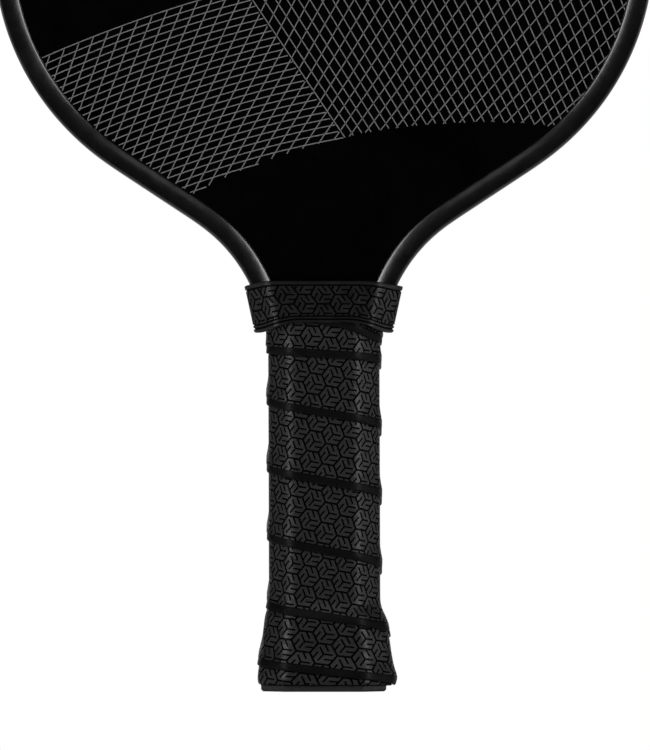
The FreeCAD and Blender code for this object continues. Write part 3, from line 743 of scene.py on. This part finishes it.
def print_layer(name, stretches, side):
    """All printed lines of one face as thin raised strips: side is -1 in front and 1 behind."""
    level = FACE_LEVEL + INK_GAP
    bend_every = 8
    points, faces, inks = [], [], []
    for line, ink in stretches:
        straight = ink > 0
        line = line[[0, -1]] if straight else np.concatenate([line[:-1:bend_every], line[-1:]])
        along = np.gradient(line, axis=0)
        along /= np.linalg.norm(along, axis=1)[:, None]
        across = np.column_stack([-along[:, 1], along[:, 0]]) * INK_WIDTH / 2
        thickness = INK_THICKNESS + INK_STEP * ink
        first = len(points)
        for centre, offset in zip(line, across):
            for x, z in (centre - offset, centre + offset):
                points.append((-side * x, side * level, z))
                points.append((-side * x, side * (level + thickness), z))
        for k in range(len(line) - 1):
            a, b = first + 4 * k, first + 4 * k + 4
            faces += [(a + 1, b + 1, b + 3, a + 3), (a, a + 2, b + 2, b),
                      (a, b, b + 1, a + 1), (a + 2, a + 3, b + 3, b + 2)]
        last = first + 4 * (len(line) - 1)
        faces += [(first, first + 1, first + 3, first + 2), (last, last + 2, last + 3, last + 1)]
        inks += [ink] * (len(faces) - len(inks))
    return new_mesh(name, points, faces, inks)


# ---------------------------------------------------------------- the edge guard

(_, _, GUARD_END), (GUARD_HALF_WIDTH, GUARD_LEVEL, _) = box_mm("edge_guard")
GUARD_STEP = 1.6
PATH_STEP = 0.4
PATH_SMOOTHING = 16
PATH_RUN_IN = 12.0
SAME_CORNER = 0.05


def guard_section():
    """The guard's section: outwards from the rim of the face sheet, and away from the middle plane.

    From its crown near the outside it falls away ever faster to a thin lip on the face.
    """
    outside = GUARD_HALF_WIDTH - OUTLINE[:, 0].max()
    lip, crown, side_round, steepness = -3.9, 2.1, 2.2, 2.0
    foot, lip_level, slot_level = FACE_LEVEL + 0.01, FACE_LEVEL + 0.05, FACE_LEVEL + 0.11
    slot_inset, slot_start, slot_end = 0.06, 0.12, 0.15
    drop = GUARD_LEVEL - lip_level
    front = [(lip, foot)]
    for share in np.linspace(1.0, 0.0, 11):
        front.append((crown + (lip - crown) * share, GUARD_LEVEL - drop * share ** steepness))
    for turn in np.linspace(0.0, math.pi / 2, 9)[1:]:
        away = GUARD_LEVEL - side_round * (1 - math.cos(turn))
        front.append((crown + (outside - crown) * math.sin(turn), away))
    slot = [(slot_end, slot_level), (lip + slot_start, slot_level), (lip + slot_inset, foot)]
    half = slot + front
    return [(out, -away) for out, away in half] + [(out, away) for out, away in reversed(half)]


def rim_path():
    """Points along the rim of the face sheets, from low left to low right, and their outward normals."""
    right = OUTLINE[OUTLINE[:, 1] > GUARD_END - PATH_RUN_IN]
    left = right * (-1.0, 1.0)
    corners = np.concatenate([left, right[::-1]])
    moved = np.linalg.norm(np.diff(corners, axis=0), axis=1) > SAME_CORNER
    corners = corners[np.concatenate([[True], moved])]
    run = np.concatenate([[0.0], np.cumsum(np.linalg.norm(np.diff(corners, axis=0), axis=1))])
    even = np.linspace(0.0, run[-1], int(run[-1] / PATH_STEP))
    path = np.column_stack([np.interp(even, run, corners[:, k]) for k in (0, 1)])
    kernel = np.hanning(2 * PATH_SMOOTHING + 1)
    kernel /= kernel.sum()
    padded = np.pad(path, ((PATH_SMOOTHING, PATH_SMOOTHING), (0, 0)), mode="reflect", reflect_type="odd")
    path = np.column_stack([np.convolve(padded[:, k], kernel, "valid") for k in (0, 1)])
    along = np.gradient(path, axis=0)
    along /= np.linalg.norm(along, axis=1)[:, None]
    normal = np.column_stack([-along[:, 1], along[:, 0]])
    shown = path[:, 1] > GUARD_END
    first, last = np.flatnonzero(shown)[[0, -1]]
    numbers = np.linspace(first, last, int((last - first) * PATH_STEP / GUARD_STEP)).round().astype(int)
    return path[numbers], normal[numbers]


def edge_guard():
    """The moulded guard: its rounded section swept around the head, with a slot for the rim of the faces."""
    section = guard_section()
    path, normal = rim_path()
    points = []
    for (x, z), (out_x, out_z) in zip(path, normal):
        points += [(x + out_x * out, y, z + out_z * out) for out, y in section]
    count = len(section)
    faces = [
        (ring * count + k, ring * count + (k + 1) % count,
         (ring + 1) * count + (k + 1) % count, (ring + 1) * count + k)
        for ring in range(len(path) - 1) for k in range(count)
    ]
    faces += [tuple(range(count)), tuple(range(len(points) - count, len(points)))[::-1]]
    piece = new_mesh("edge_guard_moulding", points, faces)
    piece.data.polygons.foreach_set("use_smooth", [len(face) == 4 for face in faces])
    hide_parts("edge_guard")
    return piece


# ---------------------------------------------------------------- materials

# At a scale of 1 the bands of the wave texture lie this far apart.
WAVE_SCALE = 0.314


class Finish:
    """A node material under construction: a Principled shader and the few helpers that the finishes share."""

    def __init__(self, name, specular=0.5):
        self.material = bpy.data.materials.new(name)
        self.material.use_nodes = True
        self.nodes = self.material.node_tree.nodes
        self.links = self.material.node_tree.links
        self.shader = self.nodes["Principled BSDF"]
        self.shader.inputs["Specular IOR Level"].default_value = specular
        self.place = self.nodes.new("ShaderNodeTexCoord").outputs["Object"]

    def noise(self, size, detail=3.0, stretch=(1.0, 1.0, 1.0)):
        """Noise with features of about size millimetres."""
        mapping = self.nodes.new("ShaderNodeMapping")
        mapping.inputs["Scale"].default_value = stretch
        self.links.new(self.place, mapping.inputs["Vector"])
        texture = self.nodes.new("ShaderNodeTexNoise")
        texture.inputs["Scale"].default_value = 1.0 / (size * MM)
        texture.inputs["Detail"].default_value = detail
        self.links.new(mapping.outputs["Vector"], texture.inputs["Vector"])
        return texture.outputs["Fac"]

    def cells(self, size):
        """A cell pattern with cells of about size millimetres."""
        texture = self.nodes.new("ShaderNodeTexVoronoi")
        texture.inputs["Scale"].default_value = 1.0 / (size * MM)
        self.links.new(self.place, texture.inputs["Vector"])
        return texture.outputs["Distance"]

    def bands(self, size, direction, distortion=0.0):
        """Parallel bands, size millimetres apart."""
        texture = self.nodes.new("ShaderNodeTexWave")
        texture.bands_direction = direction
        texture.inputs["Scale"].default_value = WAVE_SCALE / (size * MM)
        texture.inputs["Distortion"].default_value = distortion
        self.links.new(self.place, texture.inputs["Vector"])
        return texture.outputs["Fac"]

    def spread(self, value, low, high, start=0.3, end=0.7):
        """value between start and end, stretched to run from low to high."""
        node = self.nodes.new("ShaderNodeMapRange")
        for socket, number in zip(("From Min", "From Max", "To Min", "To Max"), (start, end, low, high)):
            node.inputs[socket].default_value = number
        self.links.new(value, node.inputs["Value"])
        return node.outputs["Result"]

    def arithmetic(self, operation, first, second):
        """A math node on two values."""
        node = self.nodes.new("ShaderNodeMath")
        node.operation = operation
        for socket, value in zip(node.inputs, (first, second)):
            if isinstance(value, (int, float)):
                socket.default_value = value
            else:
                self.links.new(value, socket)
        return node.outputs["Value"]

    def attribute(self, name):
        node = self.nodes.new("ShaderNodeAttribute")
        node.attribute_name = name
        return node.outputs["Fac"]

    def colour(self, value, low, high):
        """Base colour between two colours as value goes from 0 to 1."""
        ramp = self.nodes.new("ShaderNodeValToRGB")
        ramp.color_ramp.elements[0].color = (*low, 1.0)
        ramp.color_ramp.elements[1].color = (*high, 1.0)
        self.links.new(value, ramp.inputs["Fac"])
        self.links.new(ramp.outputs["Color"], self.shader.inputs["Base Color"])

    def roughness(self, value):
        self.links.new(value, self.shader.inputs["Roughness"])

    def specular(self, value):
        self.links.new(value, self.shader.inputs["Specular IOR Level"])

    def bump(self, value, height, strength):
        """A bump of height millimetres; further bumps add to the ones before."""
        node = self.nodes.new("ShaderNodeBump")
        node.inputs["Strength"].default_value = strength
        node.inputs["Distance"].default_value = height * MM
        self.links.new(value, node.inputs["Height"])
        normal = self.shader.inputs["Normal"]
        if normal.links:
            self.links.new(normal.links[0].from_socket, node.inputs["Normal"])
        self.links.new(node.outputs["Normal"], normal)


def grey(level):
    return (level, level, level)


def face_laminate():
    """Matt black composite sheet: a faint woven relief under a worn satin coat."""
    finish = Finish("face_laminate", 0.03)
    weave = finish.arithmetic("MULTIPLY", finish.bands(1.3, "X"), finish.bands(1.3, "Z"))
    finish.colour(finish.spread(finish.noise(14.0), 0.0, 1.0), grey(0.0003), grey(0.0008))
    finish.roughness(finish.spread(finish.noise(5.0, 5.0), 0.22, 0.29))
    finish.bump(weave, 0.02, 0.25)
    return finish.material


def guard_plastic():
    """Black moulded plastic: fine moulded grain and dull rubs where it has met the court."""
    finish = Finish("guard_plastic", 0.75)
    rubs = finish.spread(finish.noise(9.0, 6.0, (1.0, 1.0, 0.4)), 0.0, 1.0, 0.58, 0.74)
    finish.colour(rubs, grey(0.0015), grey(0.004))
    satin = finish.spread(finish.noise(2.5, 4.0), 0.18, 0.22)
    finish.roughness(finish.arithmetic("ADD", satin, finish.arithmetic("MULTIPLY", rubs, 0.05)))
    finish.bump(finish.noise(0.35, 2.0), 0.008, 0.35)
    return finish.material


def grip_polyurethane():
    """Soft black tape: leather-like grain, grooves painted darker as shade, and pads polished a little by the
    hand.
    """
    finish = Finish("grip_polyurethane")
    finish.specular(finish.spread(finish.attribute("tone_and_groove_shade"), 0.02, 0.28, 0.0, 0.6))
    worn = finish.spread(finish.noise(11.0, 3.0), 0.85, 1.1)
    # Base colour follows the tone, so the grooves get painted shade.
    finish.colour(finish.arithmetic("MULTIPLY", finish.attribute("tone_and_groove_shade"), worn), grey(0.0005), grey(0.0105))
    finish.roughness(finish.spread(finish.noise(7.0, 4.0), 0.36, 0.46))
    finish.bump(finish.cells(0.32), 0.02, 0.35)
    finish.bump(finish.noise(0.9, 4.0), 0.04, 0.35)
    return finish.material


def collar_rubber():
    """Black rubber moulding, a little smoother and shinier than the tape."""
    finish = Finish("collar_rubber")
    finish.specular(finish.spread(finish.attribute("tone_and_groove_shade"), 0.03, 0.28, 0.2, 1.0))
    worn = finish.spread(finish.noise(9.0, 3.0), 0.85, 1.1)
    # Base colour follows the tone, so the grooves and sunken field get painted shade.
    finish.colour(finish.arithmetic("MULTIPLY", finish.attribute("tone_and_groove_shade"), worn), grey(0.0004), grey(0.0034))
    finish.roughness(finish.spread(finish.noise(4.0, 4.0), 0.32, 0.44))
    finish.bump(finish.noise(0.5, 4.0), 0.03, 0.35)
    return finish.material


def print_ink(name, level):
    """Screen-printed ink, slightly uneven."""
    finish = Finish(name, 0.3)
    finish.colour(finish.spread(finish.noise(2.0, 5.0), 0.0, 1.0), grey(level * 0.85), grey(level * 1.1))
    finish.roughness(finish.spread(finish.noise(1.0, 3.0), 0.52, 0.66))
    finish.bump(finish.noise(0.3, 3.0), 0.004, 0.3)
    return finish.material


def cap_plastic():
    """Black moulded nylon with a fine spark-eroded grain."""
    finish = Finish("cap_plastic", 0.45)
    finish.colour(finish.spread(finish.noise(6.0, 4.0), 0.0, 1.0), grey(0.002), grey(0.004))
    finish.roughness(finish.spread(finish.noise(1.5, 4.0), 0.4, 0.52))
    finish.bump(finish.cells(0.4), 0.02, 0.4)
    return finish.material


def badge_plastic():
    """Dark grey blank badge with a turned sheen."""
    finish = Finish("badge_plastic")
    finish.colour(finish.spread(finish.noise(3.0, 4.0), 0.0, 1.0), grey(0.04), grey(0.06))
    finish.roughness(finish.spread(finish.noise(0.8, 2.0, (1.0, 6.0, 1.0)), 0.28, 0.42))
    finish.bump(finish.noise(0.5, 2.0, (1.0, 6.0, 1.0)), 0.01, 0.4)
    return finish.material


def core_polymer():
    """Milky polypropylene honeycomb with faint flow marks."""
    finish = Finish("core_polymer", 0.4)
    finish.colour(finish.spread(finish.noise(8.0, 4.0), 0.0, 1.0), (0.52, 0.53, 0.53), (0.66, 0.66, 0.65))
    finish.roughness(finish.spread(finish.noise(2.0, 3.0), 0.34, 0.48))
    finish.bump(finish.noise(1.2, 4.0, (1.0, 0.3, 1.0)), 0.03, 0.4)
    return finish.material


def glue_film():
    """Amber adhesive with small bubbles."""
    finish = Finish("glue_film")
    bubbles = finish.spread(finish.cells(1.6), 0.0, 1.0, 0.1, 0.7)
    finish.colour(bubbles, (0.42, 0.31, 0.16), (0.27, 0.18, 0.08))
    finish.roughness(finish.spread(finish.noise(3.0, 3.0), 0.22, 0.4))
    finish.bump(finish.cells(0.9), 0.03, 0.4)
    return finish.material


def pallet_plastic():
    """Grey structural foam: a pitted skin."""
    finish = Finish("pallet_plastic", 0.3)
    finish.colour(finish.spread(finish.cells(0.9), 0.0, 1.0, 0.05, 0.5), grey(0.13), grey(0.24))
    finish.roughness(finish.spread(finish.noise(2.0, 4.0), 0.52, 0.7))
    finish.bump(finish.cells(0.9), 0.08, 0.5)
    return finish.material


def staple_steel():
    """Drawn steel wire: bright, with fine lines along it."""
    finish = Finish("staple_steel")
    finish.shader.inputs["Metallic"].default_value = 1.0
    finish.colour(finish.spread(finish.noise(1.5, 4.0), 0.0, 1.0), grey(0.46), grey(0.6))
    finish.roughness(finish.spread(finish.noise(0.2, 2.0, (0.1, 1.0, 1.0)), 0.2, 0.4))
    finish.bump(finish.noise(0.15, 2.0, (0.1, 1.0, 1.0)), 0.004, 0.4)
    return finish.material


def band_vinyl():
    """Black vinyl tape with a fine crepe."""
    finish = Finish("band_vinyl")
    finish.colour(finish.spread(finish.noise(3.0, 4.0), 0.0, 1.0), grey(0.009), grey(0.016))
    finish.roughness(finish.spread(finish.noise(1.0, 3.0), 0.3, 0.42))
    finish.bump(finish.bands(0.5, "Z", 1.5), 0.01, 0.4)
    return finish.material


def dress(piece, *materials):
    """Gives a piece these materials and nothing else."""
    piece.data.materials.clear()
    for material in materials:
        piece.data.materials.append(material)


# ---------------------------------------------------------------- the scene, in metres

FLOOR_LEVEL = -0.0005
FLOOR_REACH = 4.0
WHITE = (1.0, 1.0, 1.0, 1.0)

# Strength of the world's light from in front and from straight behind, and between which directions it rises.
AMBIENT = 0.012
BACKDROP = 0.65
RISE_START = 0.4
RISE_END = 0.95

SENSOR_WIDTH = 36.0
IMAGE_HEIGHT = 0.23077
EYE_HEIGHT = 0.0971
EYE_SIDE = 0.0004
EYE_DISTANCE = 4.0

PADDLE_MIDDLE = (0.0, 0.0, 0.14)
GRIP_TOP = (0.0, 0.0, 0.12)

# Name, place, target, width, height and power in watts.
SOFTBOXES = (
    ("left_front_box", (-0.75, -0.72, 0.3), PADDLE_MIDDLE, 0.26, 1.1, 8.2),
    ("left_side_box", (-0.8, -0.1, 0.12), GRIP_TOP, 0.2, 0.5, 0.3),
    ("right_front_box", (0.75, -0.72, 0.3), PADDLE_MIDDLE, 0.26, 1.1, 8.2),
    ("right_side_box", (0.8, -0.1, 0.12), GRIP_TOP, 0.2, 0.5, 0.8),
    ("top_box", (0.0, -1.1, 1.2), PADDLE_MIDDLE, 0.9, 0.5, 3.0),
    ("back_box", (0.0, 1.0, 1.2), PADDLE_MIDDLE, 1.0, 0.6, 7.0),
)


def white_to_camera(node_tree, output, shaded):
    """Pure white where the camera looks straight at it, and shaded for all other light."""
    nodes, links = node_tree.nodes, node_tree.links
    glow = nodes.new("ShaderNodeEmission")
    glow.inputs["Strength"].default_value = 1.0
    path = nodes.new("ShaderNodeLightPath")
    mix = nodes.new("ShaderNodeMixShader")
    links.new(path.outputs["Is Camera Ray"], mix.inputs["Fac"])
    links.new(shaded, mix.inputs[1])
    links.new(glow.outputs["Emission"], mix.inputs[2])
    links.new(mix.outputs["Shader"], output.inputs["Surface"])


def studio_world():
    """White backdrop: it lights the paddle from behind, and hardly from in front."""
    world = bpy.data.worlds.new("studio")
    bpy.context.scene.world = world
    world.use_nodes = True
    nodes = world.node_tree.nodes
    background = nodes["Background"]
    background.inputs["Color"].default_value = WHITE
    direction = nodes.new("ShaderNodeTexCoord")
    parts = nodes.new("ShaderNodeSeparateXYZ")
    behind = nodes.new("ShaderNodeMapRange")
    limits = (RISE_START, RISE_END, AMBIENT, BACKDROP)
    for socket, number in zip(("From Min", "From Max", "To Min", "To Max"), limits):
        behind.inputs[socket].default_value = number
    glow = nodes.new("ShaderNodeBackground")
    glow.inputs["Color"].default_value = WHITE
    path = nodes.new("ShaderNodeLightPath")
    mix = nodes.new("ShaderNodeMixShader")
    links = world.node_tree.links
    links.new(direction.outputs["Generated"], parts.inputs["Vector"])
    links.new(parts.outputs["Y"], behind.inputs["Value"])
    links.new(behind.outputs["Result"], background.inputs["Strength"])
    links.new(path.outputs["Is Camera Ray"], mix.inputs["Fac"])
    links.new(background.outputs["Background"], mix.inputs[1])
    links.new(glow.outputs["Background"], mix.inputs[2])
    links.new(mix.outputs["Shader"], nodes["World Output"].inputs["Surface"])


def studio_floor():
    """Plain pale floor under the butt end."""
    mesh = bpy.data.meshes.new("floor")
    sides = (-FLOOR_REACH, FLOOR_REACH)
    corners = [(x, y, FLOOR_LEVEL) for y in sides for x in sides]
    mesh.from_pydata(corners, [], [(0, 1, 3, 2)])
    floor = bpy.data.objects.new("floor", mesh)
    bpy.context.scene.collection.objects.link(floor)
    material = bpy.data.materials.new("floor")
    material.use_nodes = True
    nodes = material.node_tree.nodes
    shader = nodes["Principled BSDF"]
    shader.inputs["Base Color"].default_value = (0.8, 0.8, 0.8, 1.0)
    shader.inputs["Roughness"].default_value = 0.9
    white_to_camera(material.node_tree, nodes["Material Output"], shader.outputs["BSDF"])
    mesh.materials.append(material)


def softbox(name, place, target, width, height, power):
    """A rectangular area light that looks at a target."""
    light = bpy.data.lights.new(name, "AREA")
    light.shape = "RECTANGLE"
    light.size, light.size_y, light.energy = width, height, power
    lamp = bpy.data.objects.new(name, light)
    lamp.location = place
    lamp.rotation_euler = (Vector(target) - Vector(place)).to_track_quat("-Z", "Y").to_euler()
    bpy.context.scene.collection.objects.link(lamp)


def studio_camera():
    """Level with the lower part of the paddle and looking along +Y, far enough away to look almost flat."""
    camera = bpy.data.cameras.new("camera")
    camera.sensor_width = SENSOR_WIDTH
    camera.lens = SENSOR_WIDTH * EYE_DISTANCE / IMAGE_HEIGHT
    eye = bpy.data.objects.new("camera", camera)
    eye.location = (EYE_SIDE, -EYE_DISTANCE, EYE_HEIGHT)
    eye.rotation_euler = (math.pi / 2, 0.0, 0.0)
    bpy.context.scene.collection.objects.link(eye)
    bpy.context.scene.camera = eye


def studio():
    """Everything around the paddle."""
    bpy.context.scene.view_settings.view_transform = "Standard"
    studio_world()
    studio_floor()
    studio_camera()
    for box in SOFTBOXES:
        softbox(*box)


# ---------------------------------------------------------------- the paddle and its studio

dress(grip_wrap(), grip_polyurethane())
dress(grip_collar(), collar_rubber())
dress(edge_guard(), guard_plastic())
stretches = print_lines()
inks = [print_ink("print_dim", 0.11), print_ink("print_mid", 0.19), print_ink("print_bright", 0.25)]
dress(print_layer("face_print_front", stretches, -1), *inks)
dress(print_layer("face_print_rear", stretches, 1), *inks)
FINISHES = {
    "core_polymer": core_polymer, "glue_film": glue_film, "face_laminate": face_laminate,
    "guard_plastic": guard_plastic, "pallet_plastic": pallet_plastic, "cap_plastic": cap_plastic,
    "badge_plastic": badge_plastic, "staple_steel": staple_steel, "band_vinyl": band_vinyl,
    "grip_polyurethane": grip_polyurethane, "collar_rubber": collar_rubber,
}
made = {}
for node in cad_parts.values():
    slot = node.data.materials[0].name.split(".")[0]
    if slot not in made:
        made[slot] = FINISHES[slot]()
    dress(node, made[slot])
studio()
